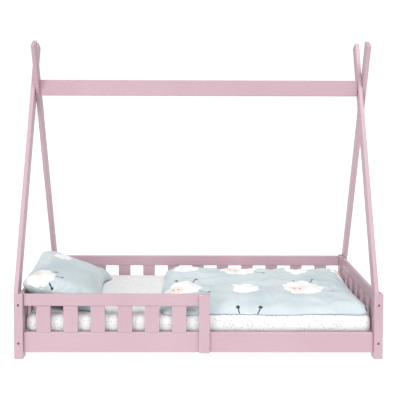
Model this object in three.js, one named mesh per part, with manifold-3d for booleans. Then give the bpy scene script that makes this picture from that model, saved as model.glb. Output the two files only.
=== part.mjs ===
// A toddler's house-shaped bed in painted pine. Millimetres, +Z up, the floor at Z = 0.
// The long open side faces -Y, the head end is at -X and the foot end at +X.
import * as THREE from 'three';
import { ConvexGeometry } from 'three/addons/geometries/ConvexGeometry.js';
import { mergeVertices } from 'three/addons/utils/BufferGeometryUtils.js';
import Module from 'manifold-3d';

const wasm = await Module();
wasm.setup();

// Overall size, over the outer faces of the four posts.
const LENGTH = 1660;
const WIDTH = 860;

// Posts and the boards that run between them.
const POST_WIDTH = 40;
const POST_DEPTH = 52;
const POST_HEIGHT = 297;
const BOARD = 18;
const PANEL_INSET = 14;
const SIDE_BOTTOM = 27;
const SIDE_HEIGHT = 92;
const TOP_RAIL_TOP = 293;
const TOP_RAIL_HEIGHT = 54;
const EASED_EDGE = 2.5;

// Upright slats. Each row is centred between its posts.
const SLAT_WIDTH = 65;
const GUARD_SLATS = 6;
const REAR_SLATS = 11;
const END_SLATS = 6;
const END_SLAT_MARGIN = 35.5;
const STILE_WIDTH = 48;
const STILE_START = 1;
const TENON_LENGTH = 12;
const TENON_WIDTH = 45;
const TENON_THICK = 8;

// The leaning poles: two at each end, side by side, crossing under the tips.
const POLE_WIDTH = 60;
const POLE_LEAN = THREE.MathUtils.degToRad(23.2);
const POLE_REACH = 1258;
const POLE_FOOT = 120;

// The ridge board between the two crossings.
const RIDGE_HEIGHT = 78;
const RIDGE_THICK = 20;

// Bolts. A counterbore hides each post bolt's head.
const BOLT_RADIUS = 3;
const HEAD_RADIUS = 5.5;
const HEAD_THICK = 4;
const HEAD_SUNK = 1;
const BOLT_GRIP = 30;
const LOW_BOLT = 72;
const HIGH_BOLT = 246;
const RIDGE_BOLT_GRIP = 45;
const ROUND_SIDES = 24;

// The mattress support.
const CLEAT_HEIGHT = 30;
const CLEAT_THICK = 22;
const CLEAT_BOTTOM = 44;
const BASE_SLATS = 14;
const BASE_SLAT_WIDTH = 70;
const BASE_THICK = 18;
const BASE_TAPE_WIDTH = 26;
const BASE_TAPE_THICK = 2;
const BASE_TAPE_OFFSET = 250;
const BASE_END_GAP = 22;
const BASE_SIDE_GAP = 4;

// Bedding.
const MATTRESS_END_GAP = 2;
const MATTRESS_SIDE_GAP = 6;
const MATTRESS_THICK = 100;
const MATTRESS_CORNER = 28;
const MATTRESS_EDGE = 16;
const DUVET_LENGTH = 974;
const DUVET_FOOT_GAP = 2;
const DUVET_FRONT_GAP = 2;
const DUVET_REAR_GAP = 20;
const DUVET_THICK = 46;
const DUVET_CORNER = 40;
const DUVET_EDGE = 18;
const PILLOW_WIDTH = 380;
const PILLOW_LENGTH = 600;
const PILLOW_THICK = 108;
const PILLOW_RIM = 16;
const PILLOW_CORNER = 60;
const PILLOW_TILT = THREE.MathUtils.degToRad(21);
const PILLOW_TURN = THREE.MathUtils.degToRad(3.9);
const PILLOW_IN = 189;
const PILLOW_FRONT_GAP = 23;

// Clearances.
const JOINT_GAP = 0.2;
const LAP_GAP = 0.3;
const BOLT_GAP = 0.3;
const REST_GAP = 0.5;

// Places that several pieces share.
const HALF_LENGTH = LENGTH / 2;
const HALF_WIDTH = WIDTH / 2;
const POST_INNER_X = HALF_LENGTH - POST_WIDTH;
const POST_INNER_Y = HALF_WIDTH - POST_DEPTH;
const POST_CENTRE_X = HALF_LENGTH - POST_WIDTH / 2;
const SIDE_CENTRE_Y = HALF_WIDTH - PANEL_INSET - BOARD / 2;
const END_CENTRE_X = HALF_LENGTH - PANEL_INSET - BOARD / 2;
const SIDE_TOP = SIDE_BOTTOM + SIDE_HEIGHT;
const TOP_RAIL_BOTTOM = TOP_RAIL_TOP - TOP_RAIL_HEIGHT;
const POLE_THICK = (POST_WIDTH - LAP_GAP) / 2;
const POLE_ACROSS = POLE_WIDTH / Math.cos(POLE_LEAN);
const CROSSING_Z = POST_HEIGHT + (HALF_WIDTH - POLE_ACROSS / 2) / Math.tan(POLE_LEAN);
const CLEAT_TOP = CLEAT_BOTTOM + CLEAT_HEIGHT;
const BASE_TOP = CLEAT_TOP + REST_GAP + BASE_THICK;
const SIDE_INNER_Y = SIDE_CENTRE_Y - BOARD / 2;
const MATTRESS_LENGTH = 2 * (POST_INNER_X - MATTRESS_END_GAP);
const MATTRESS_WIDTH = 2 * (SIDE_INNER_Y - MATTRESS_SIDE_GAP);
const MATTRESS_BOTTOM = BASE_TOP + BASE_TAPE_THICK + REST_GAP;
const MATTRESS_TOP = MATTRESS_BOTTOM + MATTRESS_THICK;

// Materials.
function finish(name, color, roughness, metalness) {
  return new THREE.MeshStandardMaterial({ name, color, roughness, metalness });
}

const paint = () => finish('paint', 0xdfc3cd, 0.42, 0);
const pine = () => finish('pine', 0xe3c9a0, 0.6, 0);
const steel = () => finish('steel', 0x77686c, 0.4, 0.9);
const sheet = () => finish('sheet', 0xf4f4f4, 0.85, 0);
const bedding = () => finish('bedding', 0xcfe0e4, 0.85, 0);

// A three.js shape as a solid that can be cut and joined, and back again.
function solidOf(geometry) {
  const bare = new THREE.BufferGeometry();
  bare.setAttribute('position', geometry.getAttribute('position'));
  bare.setIndex(geometry.getIndex());
  const merged = mergeVertices(bare, 1e-4);
  const vertProperties = new Float32Array(merged.getAttribute('position').array);
  const triVerts = new Uint32Array(merged.getIndex().array);
  return new wasm.Manifold(new wasm.Mesh({ numProp: 3, vertProperties, triVerts }));
}

function geometryOf(solid) {
  const mesh = solid.getMesh();
  const geometry = new THREE.BufferGeometry();
  geometry.setAttribute('position', new THREE.BufferAttribute(mesh.vertProperties, 3));
  geometry.setIndex(new THREE.BufferAttribute(mesh.triVerts, 1));
  const flat = geometry.toNonIndexed();
  flat.computeVertexNormals();
  return flat;
}

// The points of a box whose edges are all cut back by the same chamfer.
function easedPoints(size, chamfer) {
  const half = size.map((length) => length / 2);
  const points = [];
  for (let full = 0; full < 3; full += 1) {
    for (const x of [-1, 1]) {
      for (const y of [-1, 1]) {
        for (const z of [-1, 1]) {
          const sign = [x, y, z];
          const at = sign.map((s, axis) => s * (half[axis] - (axis === full ? 0 : chamfer)));
          points.push(new THREE.Vector3(...at));
        }
      }
    }
  }
  return points;
}

// An eased board that fills the space between two corners.
function boardShape(low, high) {
  const size = low.map((value, axis) => high[axis] - value);
  const centre = low.map((value, axis) => (value + high[axis]) / 2);
  const shape = new ConvexGeometry(easedPoints(size, EASED_EDGE));
  shape.translate(...centre);
  return shape;
}

function boxSolid(low, high) {
  const shape = new THREE.BoxGeometry(...low.map((value, axis) => high[axis] - value));
  shape.translate(...low.map((value, axis) => (value + high[axis]) / 2));
  return solidOf(shape);
}

// A cylinder along X or Y, from one point to the next.
function rodSolid(axis, radius, from, to) {
  const shape = new THREE.CylinderGeometry(radius, radius, 1, ROUND_SIDES);
  if (axis === 'x') {
    shape.rotateZ(-Math.PI / 2);
    shape.scale(to[0] - from[0], 1, 1);
  } else {
    shape.scale(1, to[1] - from[1], 1);
  }
  shape.translate(...from.map((value, i) => (value + to[i]) / 2));
  return solidOf(shape);
}

const bed = new THREE.Group();
bed.name = 'toddler_bed';

function addPiece(group, name, geometry, material) {
  const mesh = new THREE.Mesh(geometry, material);
  mesh.name = name;
  group.add(mesh);
  return mesh;
}

// Where the slats of a row stand: their centres along the row.
function slatCentres(count, pitch) {
  return Array.from({ length: count }, (_, i) => (i - (count - 1) / 2) * pitch);
}

function evenPitch(from, to, count) {
  return (to - from + SLAT_WIDTH) / (count + 1);
}

// A box that stands in a panel: 'along' runs with the panel, 'across' goes through it.
function panelBox(panel, along, across, low, high) {
  const a = [along - panel.half, along + panel.half];
  const b = [panel.at - across, panel.at + across];
  if (panel.axis === 'x') {
    return [[a[0], b[0], low], [a[1], b[1], high]];
  }
  return [[b[0], a[0], low], [b[1], a[1], high]];
}

// One upright slat with a tenon at each end.
function slatSolid(panel, along) {
  const low = SIDE_TOP + JOINT_GAP;
  const high = TOP_RAIL_BOTTOM - JOINT_GAP;
  const body = { ...panel, half: SLAT_WIDTH / 2 };
  const tenon = { ...panel, half: TENON_WIDTH / 2 };
  const slat = solidOf(boardShape(...panelBox(body, along, BOARD / 2, low, high)));
  const spine = panelBox(tenon, along, TENON_THICK / 2, low - TENON_LENGTH, high + TENON_LENGTH);
  return slat.add(boxSolid(...spine));
}

// A rail with a mortise for each slat, on its upper or its lower edge.
function railSolid(panel, from, to, low, high, slats, slatsAbove) {
  const span = { ...panel, half: (to - from) / 2 };
  let rail = solidOf(boardShape(...panelBox(span, (from + to) / 2, BOARD / 2, low, high)));
  const room = { ...panel, half: TENON_WIDTH / 2 + LAP_GAP };
  const depth = TENON_LENGTH + LAP_GAP;
  const across = TENON_THICK / 2 + LAP_GAP;
  for (const along of slats) {
    const floor = slatsAbove ? high - depth : low - 1;
    const roof = slatsAbove ? high + 1 : low + depth;
    rail = rail.subtract(boxSolid(...panelBox(room, along, across, floor, roof)));
  }
  return rail;
}

function addSlats(group, prefix, panel, slats) {
  slats.forEach((along, i) => {
    addPiece(group, `${prefix}_slat_${i + 1}`, geometryOf(slatSolid(panel, along)), paint());
  });
}

// Bolt holes that run along Y through a front post and into the end panel behind it.
function boltHoles(solid, x) {
  let drilled = solid;
  for (const z of [LOW_BOLT, HIGH_BOLT]) {
    const back = -POST_INNER_Y + BOLT_GRIP + 2;
    const hole = rodSolid('y', BOLT_RADIUS + BOLT_GAP, [x, -HALF_WIDTH - 5, z], [x, back, z]);
    const sink = HEAD_THICK + HEAD_SUNK + BOLT_GAP;
    const mouth = [x, -HALF_WIDTH - 5, z];
    const seat = [x, -HALF_WIDTH + sink, z];
    const counterbore = rodSolid('y', HEAD_RADIUS + BOLT_GAP, mouth, seat);
    drilled = drilled.subtract(hole).subtract(counterbore);
  }
  return drilled;
}

// The pole that rises from a post stands on the outer half of it at two posts and on the
// inner half at the other two, so that each pair passes side by side.
function poleSpan(end, outer) {
  const near = outer ? HALF_LENGTH - POLE_THICK : POST_INNER_X;
  return end > 0 ? [near, near + POLE_THICK] : [-near - POLE_THICK, -near];
}

function addPost(group, name, end, side, poleOuter) {
  const x = [end * POST_INNER_X, end * HALF_LENGTH].sort((a, b) => a - b);
  const y = [side * POST_INNER_Y, side * HALF_WIDTH].sort((a, b) => a - b);
  let post = solidOf(boardShape([x[0], y[0], 0], [x[1], y[1], POST_HEIGHT]));
  const foot = poleSpan(end, poleOuter);
  const lap = [foot[0] - LAP_GAP, foot[1] + LAP_GAP];
  const lapLow = [lap[0], y[0] - 1, POST_HEIGHT - POLE_FOOT - LAP_GAP];
  post = post.subtract(boxSolid(lapLow, [lap[1], y[1] + 1, POST_HEIGHT + 1]));
  if (side < 0) {
    post = boltHoles(post, end * POST_CENTRE_X);
  }
  addPiece(group, name, geometryOf(post), paint());
}

// The upright foot of a pole, which fills the lap in its post.
function poleFoot(x, outward, side) {
  const outline = [
    [0, POST_HEIGHT - POLE_FOOT],
    [0, POST_HEIGHT],
    [POST_DEPTH / 2, POST_HEIGHT + POST_DEPTH / 2],
    [POST_DEPTH, POST_HEIGHT],
    [POST_DEPTH, POST_HEIGHT - POLE_FOOT],
  ];
  const outerX = outward > 0 ? x[1] : x[0];
  const innerX = outward > 0 ? x[0] : x[1];
  const points = [];
  for (const [depth, z] of outline) {
    const eased = THREE.MathUtils.clamp(depth, EASED_EDGE, POST_DEPTH - EASED_EDGE);
    points.push(new THREE.Vector3(innerX, side * (HALF_WIDTH - depth), z));
    points.push(new THREE.Vector3(outerX - outward * EASED_EDGE, side * (HALF_WIDTH - depth), z));
    points.push(new THREE.Vector3(outerX, side * (HALF_WIDTH - eased), z));
  }
  return solidOf(new ConvexGeometry(points));
}

// A leaning pole, square cut at the tip, joined to its foot.
function addPole(group, name, end, side, outer) {
  const x = poleSpan(end, outer);
  const length = POLE_REACH + POLE_FOOT;
  const along = new THREE.Vector2(Math.sin(POLE_LEAN), Math.cos(POLE_LEAN));
  const across = new THREE.Vector2(Math.cos(POLE_LEAN), -Math.sin(POLE_LEAN));
  const points = easedPoints([POLE_THICK, POLE_WIDTH, length], EASED_EDGE).map((p) => {
    const reach = p.z + length / 2 - POLE_FOOT;
    const width = p.y + POLE_WIDTH / 2;
    const depth = along.x * reach + across.x * width;
    const z = POST_HEIGHT + along.y * reach + across.y * width;
    return new THREE.Vector3(p.x + (x[0] + x[1]) / 2, side * (HALF_WIDTH - depth), z);
  });
  const above = boxSolid([-LENGTH, -LENGTH, POST_HEIGHT], [LENGTH, LENGTH, 2 * LENGTH]);
  const outward = outer ? end : -end;
  let pole = solidOf(new ConvexGeometry(points)).intersect(above);
  pole = pole.add(poleFoot(x, outward, side));
  const bore = BOLT_RADIUS + BOLT_GAP;
  pole = pole.subtract(rodSolid('x', bore, [x[0] - 5, 0, CROSSING_Z], [x[1] + 5, 0, CROSSING_Z]));
  if (side < 0) {
    pole = boltHoles(pole, end * POST_CENTRE_X);
  }
  addPiece(group, name, geometryOf(pole), paint());
}

function addRidge(group) {
  const end = POST_INNER_X - JOINT_GAP;
  const low = [-end, -RIDGE_THICK / 2, CROSSING_Z - RIDGE_HEIGHT / 2];
  const high = [end, RIDGE_THICK / 2, CROSSING_Z + RIDGE_HEIGHT / 2];
  let ridge = solidOf(boardShape(low, high));
  for (const side of [-1, 1]) {
    const from = [side * (end - RIDGE_BOLT_GRIP - 2), 0, CROSSING_Z];
    const to = [side * (end + 5), 0, CROSSING_Z];
    const ends = side > 0 ? [from, to] : [to, from];
    ridge = ridge.subtract(rodSolid('x', BOLT_RADIUS + BOLT_GAP, ...ends));
  }
  addPiece(group, 'ridge_board', geometryOf(ridge), paint());
}

function addRidgeBolt(group, name, end) {
  const shank = [end * (POST_INNER_X - RIDGE_BOLT_GRIP), 0, CROSSING_Z];
  const seat = [end * (HALF_LENGTH + BOLT_GAP), 0, CROSSING_Z];
  const face = [end * (HALF_LENGTH + BOLT_GAP + HEAD_THICK), 0, CROSSING_Z];
  const order = (a, b) => (end > 0 ? [a, b] : [b, a]);
  const rod = rodSolid('x', BOLT_RADIUS, ...order(shank, face));
  const head = rodSolid('x', HEAD_RADIUS, ...order(seat, face));
  addPiece(group, name, geometryOf(rod.add(head)), steel());
}

function addPostBolt(group, name, end, z) {
  const x = end * POST_CENTRE_X;
  const face = [x, -HALF_WIDTH + HEAD_SUNK, z];
  const seat = [x, -HALF_WIDTH + HEAD_SUNK + HEAD_THICK, z];
  const tip = [x, -POST_INNER_Y + BOLT_GRIP, z];
  const rod = rodSolid('y', BOLT_RADIUS, face, tip);
  const head = rodSolid('y', HEAD_RADIUS, face, seat);
  addPiece(group, name, geometryOf(rod.add(head)), steel());
}

// The front: a full-length side rail, and a guard over its head half.
function addFront(group) {
  const panel = { axis: 'x', at: -SIDE_CENTRE_Y };
  const inner = POST_INNER_X - JOINT_GAP;
  const guardEnd = STILE_START + STILE_WIDTH;
  const pitch = evenPitch(-POST_INNER_X, STILE_START, GUARD_SLATS);
  const middle = (STILE_START - POST_INNER_X) / 2;
  const slats = slatCentres(GUARD_SLATS, pitch).map((x) => x + middle);
  const side = railSolid(panel, -inner, inner, SIDE_BOTTOM, SIDE_TOP, slats, true);
  const top = railSolid(panel, -inner, guardEnd, TOP_RAIL_BOTTOM, TOP_RAIL_TOP, slats, false);
  addPiece(group, 'front_side_rail', geometryOf(side), paint());
  addPiece(group, 'guard_top_rail', geometryOf(top), paint());
  addSlats(group, 'guard', panel, slats);
  const stileLow = [STILE_START, -HALF_WIDTH, SIDE_BOTTOM];
  const stileHigh = [guardEnd, -HALF_WIDTH + PANEL_INSET - JOINT_GAP, TOP_RAIL_TOP];
  addPiece(group, 'guard_stile', boardShape(stileLow, stileHigh), paint());
}

// The back: a slatted panel from post to post.
function addRear(group) {
  const panel = { axis: 'x', at: SIDE_CENTRE_Y };
  const inner = POST_INNER_X - JOINT_GAP;
  const pitch = evenPitch(-POST_INNER_X, POST_INNER_X, REAR_SLATS);
  const slats = slatCentres(REAR_SLATS, pitch);
  const side = railSolid(panel, -inner, inner, SIDE_BOTTOM, SIDE_TOP, slats, true);
  const top = railSolid(panel, -inner, inner, TOP_RAIL_BOTTOM, TOP_RAIL_TOP, slats, false);
  addPiece(group, 'rear_side_rail', geometryOf(side), paint());
  addPiece(group, 'rear_top_rail', geometryOf(top), paint());
  addSlats(group, 'rear', panel, slats);
}

// One end panel. The front ends of its rails take the post bolts.
function addEnd(group, prefix, end) {
  const panel = { axis: 'y', at: end * END_CENTRE_X };
  const inner = POST_INNER_Y - JOINT_GAP;
  const pitch = (2 * (POST_INNER_Y - END_SLAT_MARGIN) - SLAT_WIDTH) / (END_SLATS - 1);
  const slats = slatCentres(END_SLATS, pitch);
  const side = railSolid(panel, -inner, inner, SIDE_BOTTOM, SIDE_TOP, slats, true);
  const top = railSolid(panel, -inner, inner, TOP_RAIL_BOTTOM, TOP_RAIL_TOP, slats, false);
  const boltX = end * POST_CENTRE_X;
  addPiece(group, `${prefix}_low_rail`, geometryOf(boltHoles(side, boltX)), paint());
  addPiece(group, `${prefix}_top_rail`, geometryOf(boltHoles(top, boltX)), paint());
  addSlats(group, prefix, panel, slats);
}

// A ledge screwed inside each side rail, for the slatted base to lie on.
function addCleat(group, name, side) {
  const inner = SIDE_INNER_Y - JOINT_GAP;
  const y = [side * (inner - CLEAT_THICK), side * inner].sort((a, b) => a - b);
  const x = POST_INNER_X - CLEAT_THICK;
  addPiece(group, name, boardShape([-x, y[0], CLEAT_BOTTOM], [x, y[1], CLEAT_TOP]), pine());
}

// The roll-out base: loose slats held at one spacing by two tapes stapled on top.
function addBase(group) {
  const end = HALF_LENGTH - PANEL_INSET - BOARD - BASE_END_GAP;
  const across = SIDE_INNER_Y - BASE_SIDE_GAP;
  const low = CLEAT_TOP + REST_GAP;
  const pitch = (2 * end - BASE_SLAT_WIDTH) / (BASE_SLATS - 1);
  const tapes = [];
  for (const y of [-BASE_TAPE_OFFSET, BASE_TAPE_OFFSET]) {
    const half = BASE_TAPE_WIDTH / 2;
    const reach = end - BASE_SLAT_WIDTH / 2;
    const tapeTop = BASE_TOP + BASE_TAPE_THICK;
    tapes.push(boxSolid([-reach, y - half, BASE_TOP - 1], [reach, y + half, tapeTop]));
  }
  let base = tapes[0].add(tapes[1]);
  for (const x of slatCentres(BASE_SLATS, pitch)) {
    const half = BASE_SLAT_WIDTH / 2;
    base = base.add(boxSolid([x - half, -across, low], [x + half, across, BASE_TOP]));
  }
  addPiece(group, 'slatted_base', geometryOf(base), pine());
}

// A rectangle with rounded corners, as points at one height.
function roundedOutline(length, width, radius, z) {
  const points = [];
  const steps = 5;
  for (const [sx, sy] of [[1, 1], [-1, 1], [-1, -1], [1, -1]]) {
    for (let i = 0; i <= steps; i += 1) {
      const turn = (i / steps) * (Math.PI / 2);
      const x = sx * (length / 2 - radius + radius * Math.cos(turn));
      const y = sy * (width / 2 - radius + radius * Math.sin(turn));
      points.push(new THREE.Vector3(x, y, z));
    }
  }
  return points;
}

// A soft slab that is alike above and below. Each layer is how far it stands in from the
// full outline, and its height over the middle.
function cushionShape(length, width, radius, layers) {
  const points = [-1, 1].flatMap((face) => layers.flatMap(([inset, height]) => {
    const corner = Math.max(radius - inset, 1);
    return roundedOutline(length - 2 * inset, width - 2 * inset, corner, face * height);
  }));
  return new ConvexGeometry(points);
}

function slabLayers(thick, edge) {
  return [[0, thick / 2 - edge], [edge, thick / 2]];
}

function addMattress(group) {
  const layers = slabLayers(MATTRESS_THICK, MATTRESS_EDGE);
  const shape = cushionShape(MATTRESS_LENGTH, MATTRESS_WIDTH, MATTRESS_CORNER, layers);
  const mesh = addPiece(group, 'mattress', shape, sheet());
  mesh.position.z = MATTRESS_BOTTOM + MATTRESS_THICK / 2;
}

function addDuvet(group) {
  const layers = slabLayers(DUVET_THICK, DUVET_EDGE);
  const width = MATTRESS_WIDTH - DUVET_FRONT_GAP - DUVET_REAR_GAP;
  const shape = cushionShape(DUVET_LENGTH, width, DUVET_CORNER, layers);
  const mesh = addPiece(group, 'duvet', shape, bedding());
  const z = MATTRESS_TOP + REST_GAP + DUVET_THICK / 2;
  const footEnd = MATTRESS_LENGTH / 2 - DUVET_FOOT_GAP;
  const y = (DUVET_FRONT_GAP - DUVET_REAR_GAP) / 2;
  mesh.position.set(footEnd - DUVET_LENGTH / 2, y, z);
}

// The pillow leans on the head panel, so its head edge is the higher one.
function addPillow(group) {
  const belly = PILLOW_THICK / 2;
  const layers = [[0, PILLOW_RIM / 2], [PILLOW_WIDTH / 8, belly * 0.5], [PILLOW_WIDTH / 3, belly]];
  const shape = cushionShape(PILLOW_WIDTH, PILLOW_LENGTH, PILLOW_CORNER, layers);
  shape.rotateY(PILLOW_TILT);
  shape.rotateZ(PILLOW_TURN);
  shape.computeBoundingBox();
  const mesh = addPiece(group, 'pillow', shape, bedding());
  const z = MATTRESS_TOP + REST_GAP - shape.boundingBox.min.z;
  const y = PILLOW_FRONT_GAP + PILLOW_LENGTH / 2 - SIDE_INNER_Y;
  mesh.position.set(PILLOW_IN - HALF_LENGTH, y, z);
}

const frame = new THREE.Group();
frame.name = 'bed_frame';
bed.add(frame);
addPost(frame, 'post_head_front', -1, -1, true);
addPost(frame, 'post_head_rear', -1, 1, false);
addPost(frame, 'post_foot_front', 1, -1, false);
addPost(frame, 'post_foot_rear', 1, 1, true);
addPole(frame, 'pole_head_front', -1, -1, true);
addPole(frame, 'pole_head_rear', -1, 1, false);
addPole(frame, 'pole_foot_front', 1, -1, false);
addPole(frame, 'pole_foot_rear', 1, 1, true);
addRidge(frame);
addFront(frame);
addRear(frame);
addEnd(frame, 'head', -1);
addEnd(frame, 'foot', 1);
addCleat(frame, 'front_cleat', -1);
addCleat(frame, 'rear_cleat', 1);
addRidgeBolt(frame, 'ridge_bolt_head', -1);
addRidgeBolt(frame, 'ridge_bolt_foot', 1);
addPostBolt(frame, 'bolt_head_low', -1, LOW_BOLT);
addPostBolt(frame, 'bolt_head_high', -1, HIGH_BOLT);
addPostBolt(frame, 'bolt_foot_low', 1, LOW_BOLT);
addPostBolt(frame, 'bolt_foot_high', 1, HIGH_BOLT);

const softs = new THREE.Group();
softs.name = 'bedding';
bed.add(softs);
addBase(softs);
addMattress(softs);
addDuvet(softs);
addPillow(softs);

export default bed;
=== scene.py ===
# %% [markdown]
# # A toddler's house bed
# The bed is a painted pine frame shaped like a small tent: four posts, slatted panels, two
# pairs of crossed poles and a ridge board. On it lie a mattress in a fitted sheet, a pillow
# and a duvet. The frame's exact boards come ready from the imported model, so this lesson
# rounds their edges, paints them, and makes the soft things that no CAD program makes well.

# %% Load the frame
import math

import bmesh
import bpy
import numpy as np
from mathutils import Matrix, Vector, noise


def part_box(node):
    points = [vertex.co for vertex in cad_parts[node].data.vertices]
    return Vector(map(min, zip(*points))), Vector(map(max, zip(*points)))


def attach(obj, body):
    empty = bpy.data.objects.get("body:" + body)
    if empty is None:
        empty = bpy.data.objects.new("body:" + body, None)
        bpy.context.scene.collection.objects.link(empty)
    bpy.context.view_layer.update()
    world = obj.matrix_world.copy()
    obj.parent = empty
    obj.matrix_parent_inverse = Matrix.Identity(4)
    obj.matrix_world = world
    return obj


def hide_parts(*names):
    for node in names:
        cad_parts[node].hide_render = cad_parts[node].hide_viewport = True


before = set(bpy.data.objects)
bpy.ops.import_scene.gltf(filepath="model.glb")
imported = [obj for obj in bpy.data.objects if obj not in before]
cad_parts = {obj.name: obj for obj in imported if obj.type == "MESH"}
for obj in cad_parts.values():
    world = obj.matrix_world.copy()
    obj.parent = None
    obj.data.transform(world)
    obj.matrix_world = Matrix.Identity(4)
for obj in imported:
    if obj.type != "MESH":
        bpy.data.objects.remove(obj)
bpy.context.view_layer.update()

# %% [markdown]
# ## The camera
# The bed is seen square from the front, from about the height of the ridge board. A camera
# that looks down on a tall object makes its uprights lean together, so this one is kept
# almost level and its lens slides down instead, by shift_y. The turn is built from three
# small angles, because nobody levels a camera perfectly.

# %% Place the camera
CAMERA_PLACE = (-0.0215, -3.7282, 1.1817)
CAMERA_TURN_LEFT = -0.0074
CAMERA_LOOK_DOWN = 0.058
CAMERA_ROLL = -0.0029
LENS_MM = 67.15
LENS_SHIFT = -0.15

camera_data = bpy.data.cameras.new("camera")
camera_data.lens = LENS_MM
camera_data.sensor_width = 36.0
camera_data.shift_y = LENS_SHIFT
camera_data.clip_start = 0.05
camera_data.clip_end = 60.0
camera = bpy.data.objects.new("camera", camera_data)
bpy.context.scene.collection.objects.link(camera)
level = Matrix.Rotation(math.pi / 2 - CAMERA_LOOK_DOWN, 4, "X")
turn = Matrix.Rotation(CAMERA_TURN_LEFT, 4, "Z")
roll = Matrix.Rotation(-CAMERA_ROLL, 4, "Z")
camera.matrix_world = Matrix.Translation(CAMERA_PLACE) @ turn @ level @ roll
bpy.context.scene.camera = camera
print("Camera at", CAMERA_PLACE, "with a lens of", LENS_MM, "mm")

# %% [markdown]
# ## Helpers for materials
# A procedural material is a small graph of nodes. These helpers keep the graphs short: one
# adds a node and feeds its inputs, others do arithmetic or look up a place, and one makes
# the shader and puts its plain values straight on its own sockets.

# %% Node helpers
def feed(tree, socket, value):
    """Link a socket to another one or to a node's first output, or give it a plain value."""
    if isinstance(value, bpy.types.Node):
        value = value.outputs[0]
    if isinstance(value, bpy.types.NodeSocket):
        tree.links.new(value, socket)
    elif value is not None:
        socket.default_value = value


def add_node(tree, kind, fed=None, **settings):
    """A new node with its settings made and its named or numbered inputs fed."""
    made = tree.nodes.new(kind)
    for key, value in settings.items():
        setattr(made, key, value)
    for key, value in (fed or {}).items():
        feed(tree, made.inputs[key], value)
    return made


def calc(tree, operation, *values):
    return add_node(tree, "ShaderNodeMath", dict(enumerate(values)), operation=operation)


def vector_calc(tree, operation, *values):
    made = add_node(tree, "ShaderNodeVectorMath", dict(enumerate(values)), operation=operation)
    number = operation in ("DISTANCE", "DOT_PRODUCT")
    return made.outputs["Value" if number else "Vector"]


def scaled(tree, vector, factor):
    return add_node(tree, "ShaderNodeVectorMath", {0: vector, "Scale": factor},
                    operation="SCALE")


def split(tree, vector):
    """The X, Y and Z of a vector."""
    return add_node(tree, "ShaderNodeSeparateXYZ", {0: vector}).outputs


def own_place(tree):
    """Where a point lies in the object's own coordinates."""
    return add_node(tree, "ShaderNodeTexCoord").outputs["Object"]


def stored(tree, label, output="Fac"):
    """A value that is stored on the mesh under a name."""
    return add_node(tree, "ShaderNodeAttribute", attribute_name=label).outputs[output]


def blend_colours(tree, factor, a, b):
    made = add_node(tree, "ShaderNodeMix", {"Factor": factor, 6: a, 7: b}, data_type="RGBA")
    return made.outputs[2]


def remap(tree, value, low, high, new_low=0.0, new_high=1.0):
    return add_node(tree, "ShaderNodeMapRange", {
        "From Min": low, "From Max": high, "To Min": new_low, "To Max": new_high,
        "Value": value})


def speckle(tree, place, scale, detail=3.0, rough=0.5):
    return add_node(tree, "ShaderNodeTexNoise", {
        "Vector": place, "Scale": scale, "Detail": detail, "Roughness": rough})


def bump(tree, height, depth, strength=1.0, below=None):
    return add_node(tree, "ShaderNodeBump", {
        "Strength": strength, "Distance": depth, "Height": height, "Normal": below})


def dress(tree, shader, base, **others):
    """Feed the shader's base colour and its other inputs."""
    for key, value in {"Base Color": base, **others}.items():
        feed(tree, shader.inputs[key], value)


def colour(hex_code):
    """An sRGB hex colour as the linear values that a shader works in."""
    values = [int(hex_code[i:i + 2], 16) / 255 for i in (0, 2, 4)]
    linear = [v / 12.92 if v <= 0.04045 else ((v + 0.055) / 1.055) ** 2.4 for v in values]
    return (*linear, 1.0)


def new_material(name, **plain):
    """An empty material with one Principled shader, and its plain values set on it."""
    made = bpy.data.materials.new(name)
    made.use_nodes = True
    shader = made.node_tree.nodes["Principled BSDF"]
    for key, value in plain.items():
        shader.inputs[key.replace("_", " ")].default_value = value
    return made, made.node_tree, shader


print("Pink paint in a shader's linear values:", [round(v, 3) for v in colour("bba1aa")])

# %% [markdown]
# ## Painted pine
# The paint is a thin satin coat, so the grain of the softwood below still shows as faint
# long ripples, and the shade drifts a little from board to board. Grain runs along a board,
# so each direction gets its own copy of the material with the pattern stretched that way.
# On the rounded edges, where hands and sheets rub, the coat is thinner and paler.

# %% Mix the paint
PAINT = colour("bba1aa")
PAINT_DEEP = colour("b595a1")
PAINT_WORN = colour("cfbdc5")
LEAN = math.radians(23.2)


def along_grain(tree, turned, squeeze):
    """The object's own coordinates, turned so that Z follows the grain and squeezed along it."""
    lay = add_node(tree, "ShaderNodeMapping", {"Rotation": turned, "Vector": own_place(tree)},
                   vector_type="POINT")
    return add_node(tree, "ShaderNodeMapping", {
        "Scale": (1.0, 1.0, squeeze), "Vector": lay})


def painted_pine(name, turned):
    made, tree, shader = new_material(name, Coat_Weight=0.12, Coat_Roughness=0.3)
    place = own_place(tree)
    grain = speckle(tree, along_grain(tree, turned, 0.045), 170.0, 4.0, 0.62)
    drift = remap(tree, speckle(tree, place, 2.3, 2.0), 0.35, 0.65, 0.0, 0.5)
    shade = calc(tree, "MULTIPLY_ADD", stored(tree, "tone"), 0.35, drift)
    shade = calc(tree, "MULTIPLY_ADD", remap(tree, grain, 0.35, 0.75), 0.3, shade)
    body = blend_colours(tree, shade, PAINT, PAINT_DEEP)
    rubbed = remap(tree, speckle(tree, place, 26.0, 4.0, 0.6), 0.42, 0.66)
    wear = calc(tree, "MULTIPLY", stored(tree, "edge"), calc(tree, "MULTIPLY", rubbed, 0.8))
    orange_peel = bump(tree, speckle(tree, place, 420.0, 2.0), 0.00012, 0.35)
    dress(tree, shader, blend_colours(tree, wear, body, PAINT_WORN),
          Roughness=calc(tree, "MULTIPLY_ADD", grain, 0.14, 0.36),
          Normal=bump(tree, grain, 0.0005, 0.45, orange_peel))
    return made


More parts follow.
